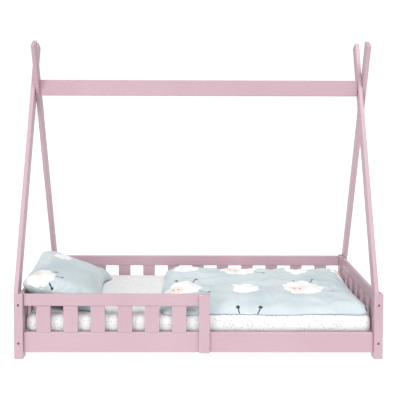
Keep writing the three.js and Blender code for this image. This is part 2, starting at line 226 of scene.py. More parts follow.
paint = {
    "upright": painted_pine("paint_upright", (0.0, 0.0, 0.0)),
    "long": painted_pine("paint_long", (0.0, math.pi / 2, 0.0)),
    "across": painted_pine("paint_across", (math.pi / 2, 0.0, 0.0)),
    "lean_back": painted_pine("paint_lean_back", (LEAN, 0.0, 0.0)),
    "lean_forward": painted_pine("paint_lean_forward", (-LEAN, 0.0, 0.0)),
}
print("Paint mixed for grain that runs", ", ".join(paint))

# %% [markdown]
# ## Bare pine, steel and tape
# Under the mattress nothing is painted. Bare pine shows its rings as bands of honey and
# brown, with short darker flecks. The bolts are dark zinc-plated steel, and the tape that
# holds the base slats at their spacing is unbleached cotton.

# %% Mix the finishes below the mattress
def bare_pine(name, turned):
    made, tree, shader = new_material(name, Roughness=0.62)
    along = along_grain(tree, turned, 0.06)
    rings = add_node(tree, "ShaderNodeTexWave", {
        "Vector": along, "Scale": 38.0, "Distortion": 5.0, "Detail": 2.0},
        wave_type="RINGS", rings_direction="Z")
    fibres = speckle(tree, along, 420.0, 4.0)
    body = blend_colours(tree, rings.outputs["Fac"], colour("e7cfa4"), colour("cfa870"))
    fleck = remap(tree, fibres, 0.55, 0.8, 0.0, 0.35)
    dress(tree, shader, blend_colours(tree, fleck, body, colour("b98c56")),
          Normal=bump(tree, fibres, 0.0004, 0.5))
    return made


pine_long = bare_pine("pine_long", (0.0, math.pi / 2, 0.0))
pine_across = bare_pine("pine_across", (math.pi / 2, 0.0, 0.0))


def plated_steel():
    made, tree, shader = new_material("dark_zinc", Metallic=0.9)
    cloudy = speckle(tree, own_place(tree), 900.0, 3.0)
    tint = blend_colours(tree, cloudy, colour("776d71"), colour("958b8f"))
    dress(tree, shader, tint, Roughness=remap(tree, cloudy, 0.3, 0.7, 0.32, 0.5))
    return made


def woven(tree, flat, count, depth, below=None):
    """The bump of a plain weave: threads one way and threads the other way."""
    x, y, _ = split(tree, flat)
    threads = 2 * math.pi * count
    warp = calc(tree, "SINE", calc(tree, "MULTIPLY", x, threads))
    weft = calc(tree, "SINE", calc(tree, "MULTIPLY", y, threads))
    return bump(tree, calc(tree, "MULTIPLY", warp, weft), depth, 0.5, below)


def cotton_tape():
    made, tree, shader = new_material("cotton_tape", Roughness=0.9, Sheen_Weight=0.2)
    place = own_place(tree)
    fuzz = speckle(tree, place, 300.0, 3.0)
    tint = blend_colours(tree, fuzz, colour("e9e2d2"), colour("d8cfba"))
    dress(tree, shader, tint, Normal=woven(tree, place, 900.0, 0.0003))
    return made


zinc = plated_steel()
tape_cotton = cotton_tape()
print("Finishes below the mattress:",
      [made.name for made in (pine_long, pine_across, zinc, tape_cotton)])

# %% [markdown]
# ## The boards
# Every post, pole and rail is one planed board with softened edges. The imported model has
# each board with its exact laps, mortises and bolt holes and a small flat chamfer. A copy is
# welded, its flat faces are made whole again, and then every sharp edge gets a bevel of
# two steps. That keeps the joints exact, and the rounding is what catches the light. The
# vertices in the middle of a rounding are marked, so that the paint can look rubbed there.

# %% Round the boards
ROUNDING = 0.0012
SHARP = 0.5
SAME_POINT = 2e-5
FLAT_FACE = 4e-4


def new_piece(name, data, material=None):
    piece = bpy.data.objects.new(name, data)
    bpy.context.scene.collection.objects.link(piece)
    if material is not None:
        data.materials.clear()
        data.materials.append(material)
    return piece


def welded(node):
    work = bmesh.new()
    work.from_mesh(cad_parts[node].data)
    bmesh.ops.remove_doubles(work, verts=work.verts, dist=SAME_POINT)
    bmesh.ops.dissolve_limit(
        work, angle_limit=math.radians(1.0), verts=work.verts, edges=work.edges)
    return work


def mark_points(mesh, label, values):
    layer = mesh.attributes.new(label, "FLOAT", "POINT")
    layer.data.foreach_set("value", values)


def rounded_board(node, material, tone=0.0):
    """A rounded copy of a board, with its rubbed edges marked and a tone of its own."""
    work = welded(node)
    corners = [e for e in work.edges if e.is_manifold and e.calc_face_angle() > SHARP]
    bmesh.ops.bevel(
        work, geom=corners, offset=ROUNDING, offset_type="OFFSET", segments=2,
        profile=0.5, clamp_overlap=True, affect="EDGES")
    mesh = bpy.data.meshes.new(f"{node}_wood")
    work.to_mesh(mesh)
    work.free()
    marks = np.ones(len(mesh.vertices), np.float32)
    for face in mesh.polygons:
        if face.area > FLAT_FACE:
            marks[list(face.vertices)] = 0.0
    mark_points(mesh, "edge", marks)
    mark_points(mesh, "tone", np.full(len(mesh.vertices), tone, np.float32))
    piece = new_piece(f"{node}_wood", mesh, material)
    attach(piece, "frame")
    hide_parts(node)
    return piece


GRAIN = {
    "upright": ["post_head_front", "post_head_rear", "post_foot_front", "post_foot_rear",
                "guard_stile"],
    "long": ["ridge_board", "front_side_rail", "guard_top_rail", "rear_side_rail",
             "rear_top_rail"],
    "across": ["head_low_rail", "head_top_rail", "foot_low_rail", "foot_top_rail"],
    "lean_back": ["pole_head_front", "pole_foot_front"],
    "lean_forward": ["pole_head_rear", "pole_foot_rear"],
}
tones = np.random.default_rng(11)
for direction, nodes in GRAIN.items():
    for node in nodes:
        board = rounded_board(node, paint[direction], tones.uniform(0.0, 1.0))
for node in ("front_cleat", "rear_cleat"):
    rounded_board(node, pine_long)
print("Rounded boards:", sum(len(nodes) for nodes in GRAIN.values()) + 2)

# %% [markdown]
# ## The slats
# The slats are the part that repeats, so one Geometry Nodes tree makes a whole row: it draws
# a rectangle, rounds its corners, thickens it into a slat, and stands a copy at each step of
# a line. Width, thickness, length, spacing and edge radius are inputs, so the same tree
# makes the guard, the back, both ends and the base. A random tone for each slat keeps the
# row from looking stamped out.

# %% Grow a row of slats
def tree_with(name, inputs):
    """A Geometry Nodes tree with one geometry output and the named inputs."""
    tree = bpy.data.node_groups.new(name, "GeometryNodeTree")
    tree.interface.new_socket("Geometry", in_out="OUTPUT", socket_type="NodeSocketGeometry")
    for label, kind in inputs:
        tree.interface.new_socket(label, in_out="INPUT", socket_type=f"NodeSocket{kind}")
    enter = tree.nodes.new("NodeGroupInput")
    leave = tree.nodes.new("NodeGroupOutput")
    return tree, enter.outputs, leave.inputs["Geometry"]


def end_tree(tree, geometry, material, out):
    """Realize the instances, set the material, and send the result out."""
    real = add_node(tree, "GeometryNodeRealizeInstances", {"Geometry": geometry})
    feed(tree, out, add_node(tree, "GeometryNodeSetMaterial", {
        "Geometry": real, "Material": material}))


def points_in_line(tree, given):
    return add_node(tree, "GeometryNodeMeshLine", {
        "Count": given["Count"], "Start Location": given["First"], "Offset": given["Step"]},
        mode="OFFSET")


def rotation_from(tree, angles):
    return add_node(tree, "FunctionNodeEulerToRotation", {0: angles})


def past_rounding(tree, coordinate, size, edge):
    """1 where a coordinate lies beyond the flat part of a side, and 0 on the flat part."""
    flat_reach = calc(tree, "SUBTRACT", calc(tree, "MULTIPLY", size, 0.5), edge)
    return calc(tree, "GREATER_THAN", calc(tree, "ABSOLUTE", coordinate),
                calc(tree, "ADD", flat_reach, 1e-4))


def slat_row_tree():
    tree, given, out = tree_with("slat_row", [
        ("Count", "Int"), ("First", "Vector"), ("Step", "Vector"), ("Turn", "Vector"),
        ("Width", "Float"), ("Thickness", "Float"), ("Length", "Float"), ("Edge", "Float"),
        ("Seed", "Int"), ("Material", "Material")])
    outline = add_node(tree, "GeometryNodeCurvePrimitiveQuadrilateral", {
        "Width": given["Width"], "Height": given["Thickness"]}, mode="RECTANGLE")
    rounded = add_node(tree, "GeometryNodeFilletCurve", {
        "Curve": outline, "Radius": given["Edge"], "Count": 4}, mode="POLY")
    face = add_node(tree, "GeometryNodeFillCurve", {"Curve": rounded}, mode="NGONS")
    up = add_node(tree, "ShaderNodeCombineXYZ", {"Z": given["Length"]})
    raised = add_node(tree, "GeometryNodeExtrudeMesh", {
        "Individual": False, "Mesh": face, "Offset": up}, mode="FACES")
    foot = add_node(tree, "GeometryNodeFlipFaces", {"Mesh": face})
    both = tree.nodes.new("GeometryNodeJoinGeometry")
    for part in (raised, foot):
        feed(tree, both.inputs["Geometry"], part)
    shut = add_node(tree, "GeometryNodeMergeByDistance", {"Distance": 1e-5, "Geometry": both})
    x, y, _ = split(tree, tree.nodes.new("GeometryNodeInputPosition"))
    in_corner = calc(tree, "MULTIPLY", past_rounding(tree, x, given["Width"], given["Edge"]),
                     past_rounding(tree, y, given["Thickness"], given["Edge"]))
    mark = add_node(tree, "GeometryNodeStoreNamedAttribute", {
        "Name": "edge", "Geometry": shut, "Value": in_corner},
        data_type="FLOAT", domain="POINT")
    stand = add_node(tree, "GeometryNodeInstanceOnPoints", {
        "Points": points_in_line(tree, given), "Instance": mark,
        "Rotation": rotation_from(tree, given["Turn"])})
    chance = add_node(tree, "FunctionNodeRandomValue", {"Seed": given["Seed"]},
                      data_type="FLOAT")
    tone = add_node(tree, "GeometryNodeStoreNamedAttribute", {
        "Name": "tone", "Geometry": stand, "Value": chance.outputs[1]},
        data_type="FLOAT", domain="INSTANCE")
    end_tree(tree, tone, given["Material"], out)
    return tree


def grown(name, tree, values):
    """The tree's result as a plain mesh object, with its inputs set by identifier."""
    holder = new_piece(f"{name}_holder", bpy.data.meshes.new(f"{name}_holder"))
    grow = holder.modifiers.new("grow", "NODES")
    grow.node_group = tree
    for item in tree.interface.items_tree:
        if item.in_out == "INPUT":
            grow[item.identifier] = values[item.name]
    seen = holder.evaluated_get(bpy.context.evaluated_depsgraph_get())
    mesh = bpy.data.meshes.new_from_object(seen)
    mesh.name = name
    bpy.data.objects.remove(holder)
    return new_piece(name, mesh)


slat_row = slat_row_tree()
print("Inputs of the slat tree:", [item.name for item in slat_row.interface.items_tree][1:])

# %% Stand the four rows in their panels
SLAT_EDGE = 0.0035
LOW_RAIL = {"guard": "front_side_rail", "rear": "rear_side_rail",
            "head": "head_low_rail", "foot": "foot_low_rail"}
TOP_RAIL = {"guard": "guard_top_rail", "rear": "rear_top_rail",
            "head": "head_top_rail", "foot": "foot_top_rail"}


def centre_of(node):
    low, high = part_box(node)
    return [(a + b) / 2 for a, b in zip(low, high)]


def stand_row(name, prefix, count, turned, seed):
    """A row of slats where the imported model's slats stand."""
    nodes = [f"{prefix}_slat_{i + 1}" for i in range(count)]
    first, second = centre_of(nodes[0]), centre_of(nodes[1])
    low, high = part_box(nodes[0])
    rail_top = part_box(LOW_RAIL[prefix])[1][2]
    rail_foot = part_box(TOP_RAIL[prefix])[0][2]
    axis = 1 if turned else 0
    row = grown(name, slat_row, {
        "Count": count,
        "First": (first[0], first[1], rail_top),
        "Step": tuple(b - a for a, b in zip(first, second)),
        "Turn": (0.0, 0.0, math.pi / 2 if turned else 0.0),
        "Width": high[axis] - low[axis],
        "Thickness": high[1 - axis] - low[1 - axis],
        "Length": rail_foot - rail_top,
        "Edge": SLAT_EDGE,
        "Seed": seed,
        "Material": paint["upright"],
    })
    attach(row, "frame")
    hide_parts(*nodes)
    return row


rows = [
    stand_row("guard_slats", "guard", 6, False, 3),
    stand_row("rear_slats", "rear", 11, False, 5),
    stand_row("head_slats", "head", 6, True, 7),
    stand_row("foot_slats", "foot", 6, True, 9),
]
print("Rows:", {row.name: len(row.data.polygons) for row in rows})

# %% [markdown]
# ## Bolts and screws
# The bed comes flat in a box, so bolts hold it together. A bolt head is a solid of
# revolution with a six-sided socket sunk into it. It is lathed from a short profile, where
# the rings of the socket are pulled in to a hexagon. A second tree then puts a copy of one
# template on every point of a line, which serves bolts, screws and staples alike.

# %% Lathe the templates
MM = 0.001


def mesh_from(work, name):
    """The finished bmesh as a mesh, with its normals pointing out."""
    bmesh.ops.recalc_face_normals(work, faces=work.faces)
    mesh = bpy.data.meshes.new(name)
    work.to_mesh(mesh)
    work.free()
    return mesh


def lofted(name, rings):
    """A closed solid through rings of points."""
    work = bmesh.new()
    rings = [[work.verts.new(place) for place in ring] for ring in rings]
    for a, b in zip(rings, rings[1:]):
        for i in range(len(a)):
            j = (i + 1) % len(a)
            work.faces.new((a[i], a[j], b[j], b[i]))
    work.faces.new(rings[0])
    work.faces.new(list(reversed(rings[-1])))
    return bpy.data.objects.new(name, mesh_from(work, name))


def lathe(name, profile, steps=36):
    """A closed turned solid about +Z. A ring marked as a hexagon follows its flats."""
    rings = []
    for radius, height, hexagon in profile:
        ring = []
        for i in range(steps):
            angle = 2 * math.pi * i / steps
            flat = (angle + math.pi / 6) % (math.pi / 3) - math.pi / 6
            reach = radius / math.cos(flat) if hexagon else radius
            ring.append((reach * math.cos(angle), reach * math.sin(angle), height))
        rings.append(ring)
    return lofted(name, rings)


bolt_head = lathe("bolt_head", [
    (2.2 * MM, -2.6 * MM, True), (2.5 * MM, -0.3 * MM, True), (2.9 * MM, 0.0, False),
    (4.6 * MM, 0.0, False), (5.3 * MM, -0.5 * MM, False), (5.5 * MM, -1.2 * MM, False),
    (5.5 * MM, -4.0 * MM, False), (3.0 * MM, -4.0 * MM, False), (3.0 * MM, -40.0 * MM, False)])
screw_head = lathe("screw_head", [
    (1.1 * MM, -1.6 * MM, True), (1.2 * MM, 0.25 * MM, True), (3.4 * MM, 0.2 * MM, False),
    (3.8 * MM, 0.0, False), (1.9 * MM, -2.2 * MM, False), (1.9 * MM, -14.0 * MM, False)], 24)


def place_tree():
    tree, given, out = tree_with("line_of_fixings", [
        ("Template", "Object"), ("Count", "Int"), ("First", "Vector"), ("Step", "Vector"),
        ("Turn", "Vector"), ("Seed", "Int"), ("Material", "Material")])
    shape = add_node(tree, "GeometryNodeObjectInfo", {"Object": given["Template"]})
    spin = add_node(tree, "FunctionNodeRandomValue", {
        0: (0.0, 0.0, 0.0), 1: (0.0, 0.0, 1.0), "Seed": given["Seed"]},
        data_type="FLOAT_VECTOR")
    turned = add_node(tree, "FunctionNodeRotateRotation", {
        0: rotation_from(tree, given["Turn"]), 1: rotation_from(tree, spin)},
        rotation_space="LOCAL")
    put = add_node(tree, "GeometryNodeInstanceOnPoints", {
        "Points": points_in_line(tree, given), "Instance": shape.outputs["Geometry"],
        "Rotation": turned})
    end_tree(tree, put, given["Material"], out)
    return tree


fixings = place_tree()
TO_FRONT = (math.pi / 2, 0.0, 0.0)
TO_REAR = (-math.pi / 2, 0.0, 0.0)
TO_FOOT = (0.0, math.pi / 2, 0.0)
TO_HEAD = (0.0, -math.pi / 2, 0.0)


def fix(name, template, first, step, count, turned, seed, nodes=()):
    """A line of fixings that rides on the frame, and stands for the nodes if it names any."""
    made = grown(name, fixings, {
        "Template": template, "Count": count, "First": first, "Step": step,
        "Turn": turned, "Seed": seed, "Material": zinc})
    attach(made, "frame")
    if nodes:
        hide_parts(*nodes)


print("Templates:", {made.name: len(made.data.polygons) for made in (bolt_head, screw_head)})

# %% Fit the bolts and screws
PROUD = 0.002
SIDE_BOLT_UP = 0.022
SIDE_BOLT_CLOSER = 0.003
SCREWS_PER_CLEAT = 8
CLEAT_END = 0.06
STILE_SCREW_OUT = 0.011

post_low, post_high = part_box("post_foot_front")
post_x = (post_low[0] + post_high[0]) / 2
out_x, out_y = post_high[0], -post_low[1]
low_z = centre_of("bolt_head_low")[2]
rise = centre_of("bolt_head_high")[2] - low_z
face_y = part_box("bolt_head_low")[0][1]
rail_y = centre_of("rear_side_rail")[1]
for end, label, outward in ((-1, "head", TO_HEAD), (1, "foot", TO_FOOT)):
    pair = (0.0, 0.0, rise)
    fix(f"front_bolts_{label}", bolt_head, (end * post_x, face_y, low_z), pair, 2,
        TO_FRONT, 20 + end, (f"bolt_{label}_low", f"bolt_{label}_high"))
    fix(f"rear_bolts_{label}", bolt_head, (end * post_x, out_y + PROUD, low_z), pair, 2,
        TO_REAR, 24 + end)
    for side, tag in ((-1, "front"), (1, "rear")):
        fix(f"side_bolts_{label}_{tag}", bolt_head,
            (end * (out_x + PROUD), side * rail_y, low_z + SIDE_BOLT_UP),
            (0.0, 0.0, rise - SIDE_BOLT_CLOSER), 2, outward, 30 + end + side)
    bolt = f"ridge_bolt_{label}"
    head_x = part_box(bolt)[1 if end > 0 else 0][0]
    fix(f"ridge_bolts_{label}", bolt_head, (head_x, 0.0, centre_of(bolt)[2]),
        (0.0, 0.0, 0.01), 1, outward, 40 + end, (bolt,))

cleat_low, cleat_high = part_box("rear_cleat")
cleat_z = (cleat_low[2] + cleat_high[2]) / 2
cleat_step = (cleat_high[0] - cleat_low[0] - 2 * CLEAT_END) / (SCREWS_PER_CLEAT - 1)
for side, tag, turned in ((-1, "front", TO_REAR), (1, "rear", TO_FRONT)):
    fix(f"{tag}_cleat_screws", screw_head,
        (cleat_low[0] + CLEAT_END, side * cleat_low[1], cleat_z), (cleat_step, 0.0, 0.0),
        SCREWS_PER_CLEAT, turned, 50 + side)
stile_x = centre_of("guard_stile")[0]
rail_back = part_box("guard_top_rail")[1][1]
for tag, node in (("top", "guard_top_rail"), ("low", "front_side_rail")):
    fix(f"stile_screws_{tag}", screw_head,
        (stile_x - STILE_SCREW_OUT, rail_back, centre_of(node)[2]),
        (2 * STILE_SCREW_OUT, 0.0, 0.0), 2, TO_REAR, 60)
print("Bolt heads and screws fitted, the post bolts", round(rise * 1000), "mm apart")

# %% [markdown]
# ## The slatted base
# Fourteen bare slats lie on the cleats, and two cotton tapes stapled to them hold them at
# one spacing, so that the whole base rolls up for its box. The slats come from the same tree
# as the painted ones, laid flat. The tapes dip a little between the slats, as cloth does.

# %% Lay the base
base_low, base_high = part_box("slatted_base")
BASE_COUNT = 14
BASE_WIDTH = 0.070
BASE_THICK = 0.018
BASE_EDGE = 0.004
TAPE_WIDTH = 0.026
TAPE_AT = 0.250
TAPE_THICK = 0.0012
TAPE_DIP = 0.003
STEPS_PER_SLAT = 12
TAPE_UP = 0.0004
STAPLE_UP = 0.0014
first_x = base_low[0] + BASE_WIDTH / 2
base_step = (base_high[0] - base_low[0] - BASE_WIDTH) / (BASE_COUNT - 1)
base_top = base_low[2] + BASE_THICK
base_slats = grown("base_slats", slat_row, {
    "Count": BASE_COUNT,
    "First": (first_x, base_low[1], base_low[2] + BASE_THICK / 2),
    "Step": (base_step, 0.0, 0.0),
    "Turn": (-math.pi / 2, 0.0, 0.0),
    "Width": BASE_WIDTH, "Thickness": BASE_THICK, "Length": base_high[1] - base_low[1],
    "Edge": BASE_EDGE, "Seed": 13, "Material": pine_across})
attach(base_slats, "frame")
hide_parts("slatted_base")


def tape_mesh(name, y):
    """A tape that lies on the slats and dips in each gap."""
    work = bmesh.new()
    steps = (BASE_COUNT - 1) * STEPS_PER_SLAT
    gap = 1 - BASE_WIDTH / base_step
    rails = []
    for i in range(steps + 1):
        x = first_x + base_step * (BASE_COUNT - 1) * i / steps
        phase = (i / STEPS_PER_SLAT) % 1.0
        in_gap = max(0.0, 1 - abs(phase - 0.5) / (gap / 2))
        z = base_top + TAPE_UP - TAPE_DIP * math.sin(in_gap * math.pi / 2) ** 2
        rails.append([work.verts.new((x, y + TAPE_WIDTH * s, z + lift))
                      for lift in (0.0, TAPE_THICK) for s in (-0.5, -0.17, 0.17, 0.5)])
    for a, b in zip(rails, rails[1:]):
        for i in range(3):
            work.faces.new((a[i], a[i + 1], b[i + 1], b[i]))
            work.faces.new((a[i + 4], b[i + 4], b[i + 5], a[i + 5]))
        work.faces.new((a[0], b[0], b[4], a[4]))
        work.faces.new((a[3], a[7], b[7], b[3]))
    for end in (rails[0], rails[-1]):
        for i in range(3):
            work.faces.new((end[i], end[i + 1], end[i + 5], end[i + 4]))
    return mesh_from(work, name)


# A flat wire staple, seen as a small bar with two turned-down legs.
STAPLE_PATH = [(-5.0, -2.0), (-5.0, -0.3), (-4.6, 0.3), (4.6, 0.3), (5.0, -0.3), (5.0, -2.0)]
WIRE = [(-0.5, 0.0), (0.5, 0.0), (0.5, 0.5), (-0.5, 0.5)]
staple = lofted("staple", [[(x * MM, dy * MM, (z + dz) * MM) for dy, dz in WIRE]
                           for x, z in STAPLE_PATH])
for tag, y in (("front", -TAPE_AT), ("rear", TAPE_AT)):
    tape = new_piece(f"base_tape_{tag}", tape_mesh(f"base_tape_{tag}", y), tape_cotton)
    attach(tape, "frame")
    fix(f"base_staples_{tag}", staple, (first_x, y, base_top + STAPLE_UP),
        (base_step, 0.0, 0.0), BASE_COUNT, (0.0, 0.0, 0.0), 70)
print("Base of", BASE_COUNT, "slats,", round(base_step * 1000), "mm apart")

# %% [markdown]
# ## Cloth materials
# The bedding is thin percale: a plain weave with a soft sheen and small creases. The print
# is drawn in the cloth's own flat coordinates, which are stored on the mesh before anything
# bends it, so the motifs lie on the fabric and bend with it. Clouds and little sheep stand in
# turn on a chequered grid. Both are only discs and short lines: a shape's edge is where the
# distance to the nearest disc or line is zero.

# %% Draw with distances
PRINT_EDGE = 0.0012


def disc(tree, flat, x, y, radius):
    """The distance from the edge of a disc, negative inside it."""
    return calc(tree, "SUBTRACT", vector_calc(tree, "DISTANCE", flat, (x, y, 0.0)), radius)


def stroke(tree, flat, start, end, radius):
    """The distance from the edge of a thick line, negative inside it."""
    run = Vector((end[0] - start[0], end[1] - start[1], 0.0))
    from_start = vector_calc(tree, "SUBTRACT", flat, (*start, 0.0))
    along = vector_calc(tree, "DOT_PRODUCT", from_start, tuple(run / run.length_squared))
    clamp = add_node(tree, "ShaderNodeClamp", {"Value": along})
    closest = scaled(tree, tuple(run), clamp)
    return calc(tree, "SUBTRACT", vector_calc(tree, "DISTANCE", from_start, closest), radius)


def nearest(tree, distances):
    closest = distances[0]
    for distance in distances[1:]:
        closest = calc(tree, "MINIMUM", closest, distance)
    return closest


def inside(tree, distance, soft=PRINT_EDGE):
    """1 inside a shape and 0 outside, with a soft printed edge."""
    return remap(tree, distance, soft, -soft)


def turned_about_z(tree, vector, angle):
    return add_node(tree, "ShaderNodeVectorRotate", {
        "Vector": vector, "Angle": math.radians(angle)}, rotation_type="Z_AXIS")


print("A printed edge fades over", 2000 * PRINT_EDGE, "mm")

# %% [markdown]
# ## The print, the sheet and the ticking
# The motifs are measured in metres of cloth. A pillow case is cut from a finer print, so its
# motifs are smaller, turned, and drawn with a heavier line. The sheet's specks come from a
# cell pattern, and the mattress ticking is quilted in diamonds.

# %% Print the cotton
BLUE = colour("c2cccf")
BLUE_DEEP = colour("b6c4c9")
INK_WHITE = colour("e9e9e8")
INK_BEIGE = colour("e0d0c5")
INK_DARK = colour("2b373e")
HEAD_FADE = 0.006
HEAD_STRENGTH = 0.75
CLOUD = [(-0.010, 0.034, 0.034), (0.024, 0.056, 0.032), (0.052, 0.022, 0.034),
         (0.046, -0.034, 0.032), (0.012, -0.056, 0.030), (-0.014, -0.022, 0.032),
         (0.020, 0.0, 0.042)]
FLEECE = [(0.066 * math.cos(a), 0.084 * math.sin(a), 0.034)
          for a in np.linspace(0.0, 2 * math.pi, 10)[:-1]] + [(0.0, 0.0, 0.070)]
HEAD = (-0.030, -0.022, 0.042)
EYES = [(-0.043, -0.024, 0.0048), (-0.016, -0.024, 0.0048)]
LEGS = [((-0.028, 0.110), (-0.034, 0.152)), ((0.052, 0.104), (0.070, 0.152)),
        ((0.094, 0.034), (0.136, 0.046)), ((0.086, -0.056), (0.132, -0.068))]


def motifs(tree, flat, start, pitch, grid_turn, motif_turn, motif_scale):
    """Each point's place in its own motif, and 1 where the motif is a cloud."""
    flat = turned_about_z(tree, vector_calc(tree, "SUBTRACT", flat, (*start, 0.0)), grid_turn)
    local, index = [], []
    for along, size in zip(split(tree, flat), pitch):
        cells = calc(tree, "DIVIDE", along, size)
        number = calc(tree, "FLOOR", calc(tree, "ADD", cells, 0.5))
        index.append(number)
        local.append(calc(tree, "MULTIPLY", calc(tree, "SUBTRACT", cells, number), size))
    cell = add_node(tree, "ShaderNodeCombineXYZ", dict(enumerate(local)))
    sized = vector_calc(tree, "DIVIDE", cell, (*motif_scale, 1.0))
    odd = calc(tree, "ABSOLUTE", calc(tree, "MODULO", calc(tree, "ADD", *index), 2.0))
    return turned_about_z(tree, sized, motif_turn), odd


def print_masks(tree, flat, line, **layout):
    """White, beige and dark masks of the print. One sheep is centred on start."""
    here, odd = motifs(tree, flat, **layout)
    sheep = calc(tree, "SUBTRACT", 1.0, odd)
    cloud = inside(tree, nearest(tree, [disc(tree, here, *c) for c in CLOUD]))
    fleece = inside(tree, nearest(tree, [disc(tree, here, *c) for c in FLEECE]))
    head = inside(tree, disc(tree, here, *HEAD), HEAD_FADE)
    marks = [disc(tree, here, *eye) for eye in EYES]
    for hip, foot in LEGS:
        marks += [stroke(tree, here, hip, foot, line),
                  disc(tree, here, *foot, 0.006 + 1.2 * line)]
    white = calc(tree, "ADD", calc(tree, "MULTIPLY", fleece, sheep),
                 calc(tree, "MULTIPLY", cloud, odd))
    beige = calc(tree, "MULTIPLY", head, sheep)
    dark = calc(tree, "MULTIPLY", inside(tree, nearest(tree, marks)), sheep)
    return white, beige, dark


def crumple(tree, place, below=None):
    """Small soft creases, as cotton has after it was folded."""
    warp = add_node(tree, "ShaderNodeTexNoise", {"Vector": place, "Scale": 5.0})
    bent = vector_calc(tree, "ADD", place, scaled(tree, warp.outputs["Color"], 0.35))
    ridges = calc(tree, "ABSOLUTE", calc(tree, "SUBTRACT", speckle(tree, bent, 9.0, 3.0), 0.5))
    return bump(tree, calc(tree, "POWER", ridges, 0.6), 0.006, 0.5, below)


def printed_cotton(name, **layout):
    """Pale blue percale with the print laid out in its flat coordinates."""
    made, tree, shader = new_material(name, Roughness=0.88, Sheen_Weight=0.25,
                                      Sheen_Roughness=0.4)
    flat = stored(tree, "flat", "Vector")
    place = own_place(tree)
    drift = remap(tree, speckle(tree, place, 6.0, 3.0), 0.35, 0.65)
    inked = blend_colours(tree, drift, BLUE, BLUE_DEEP)
    white, beige, dark = print_masks(tree, flat, **layout)
    beige = calc(tree, "MULTIPLY", beige, HEAD_STRENGTH)
    for mask, ink in ((white, INK_WHITE), (beige, INK_BEIGE), (dark, INK_DARK)):
        inked = blend_colours(tree, mask, inked, ink)
    weave = woven(tree, flat, 1100.0, 0.00025)
    dress(tree, shader, inked, Normal=crumple(tree, place, weave))
    return made


duvet_cotton = printed_cotton(
    "duvet_cotton", start=(-0.385, -0.12), pitch=(0.295, 0.39), grid_turn=0.0,
    motif_turn=0.0, motif_scale=(1.0, 1.0), line=0.0027)
pillow_cotton = printed_cotton(
    "pillow_cotton", start=(-0.124, -0.250), pitch=(0.60, 0.43), grid_turn=6.0,
    motif_turn=45.0, motif_scale=(0.56, 0.74), line=0.0046)


def speckled_sheet():
    """White jersey with tiny grey specks, scattered by a cell pattern."""
    made, tree, shader = new_material("sheet_cotton", Roughness=0.9, Sheen_Weight=0.2)
    place = own_place(tree)
    cells = add_node(tree, "ShaderNodeTexVoronoi", {"Vector": place, "Scale": 76.0})
    dots = remap(tree, cells, 0.25, 0.15)
    chance = add_node(tree, "ShaderNodeSeparateColor", {0: cells.outputs["Color"]}).outputs[0]
    dots = calc(tree, "MULTIPLY", dots, calc(tree, "GREATER_THAN", chance, 0.12))
    drift = speckle(tree, place, 8.0, 2.0)
    ground = blend_colours(tree, drift, colour("e0e0e0"), colour("dadadb"))
    tint = blend_colours(tree, dots, ground, colour("9ca1a8"))
    weave = woven(tree, place, 900.0, 0.0002)
    dress(tree, shader, tint, Normal=crumple(tree, place, weave))
    return made


def quilted_ticking():
    """Off-white ticking, quilted where two sets of slanting lines cross."""
    made, tree, shader = new_material("ticking", Roughness=0.9, Sheen_Weight=0.15)
    place = own_place(tree)
    x, y, _ = split(tree, place)
    both = []
    for sign in (1.0, -1.0):
        slant = calc(tree, "MULTIPLY", calc(tree, "MULTIPLY_ADD", y, sign, x), 40.0)
        both.append(calc(tree, "ABSOLUTE", calc(tree, "SINE", slant)))
    puffs = calc(tree, "POWER", calc(tree, "MULTIPLY", *both), 0.35)
    fuzz = speckle(tree, place, 60.0, 3.0)
    weave = woven(tree, place, 700.0, 0.0003)
    dress(tree, shader, blend_colours(tree, fuzz, colour("f3f1ec"), colour("e8e5dd")),
          Normal=bump(tree, puffs, 0.004, 0.6, weave))
    return made


sheet_cotton = speckled_sheet()
ticking = quilted_ticking()
print("Cloths:", duvet_cotton.name, pillow_cotton.name, sheet_cotton.name, ticking.name)

# %% [markdown]
# ## The mattress and its fitted sheet
# A mattress is a foam slab in ticking. It could be a bevelled cube, but a real one has round
# corners in plan, softer edges, and sides that bulge a little. One helper folds the lattice
# of a box onto that shape. The sheet uses the same helper, a little larger: it covers the
# top and the sides, tucks under, and stops at an elastic hem.

# %% Fold a box onto a soft slab
def points(mesh, field="co"):
    """The positions or the normals of a mesh's vertices, one row for each."""
    values = np.empty(len(mesh.vertices) * 3)
    mesh.vertices.foreach_get(field, values)
    return values.reshape(-1, 3)


def move_points(mesh, at):
    mesh.vertices.foreach_set("co", at.ravel())
    mesh.update()


def noise_at(*place):
    return noise.noise(Vector(place))


def round_off(a, b):
    """Squeeze the outer corner of a square onto a quarter disc."""
    reach = np.hypot(a, b)
    scale = np.where(reach > 1e-9, np.maximum(a, b) / np.maximum(reach, 1e-9), 1.0)
    return a * scale, b * scale


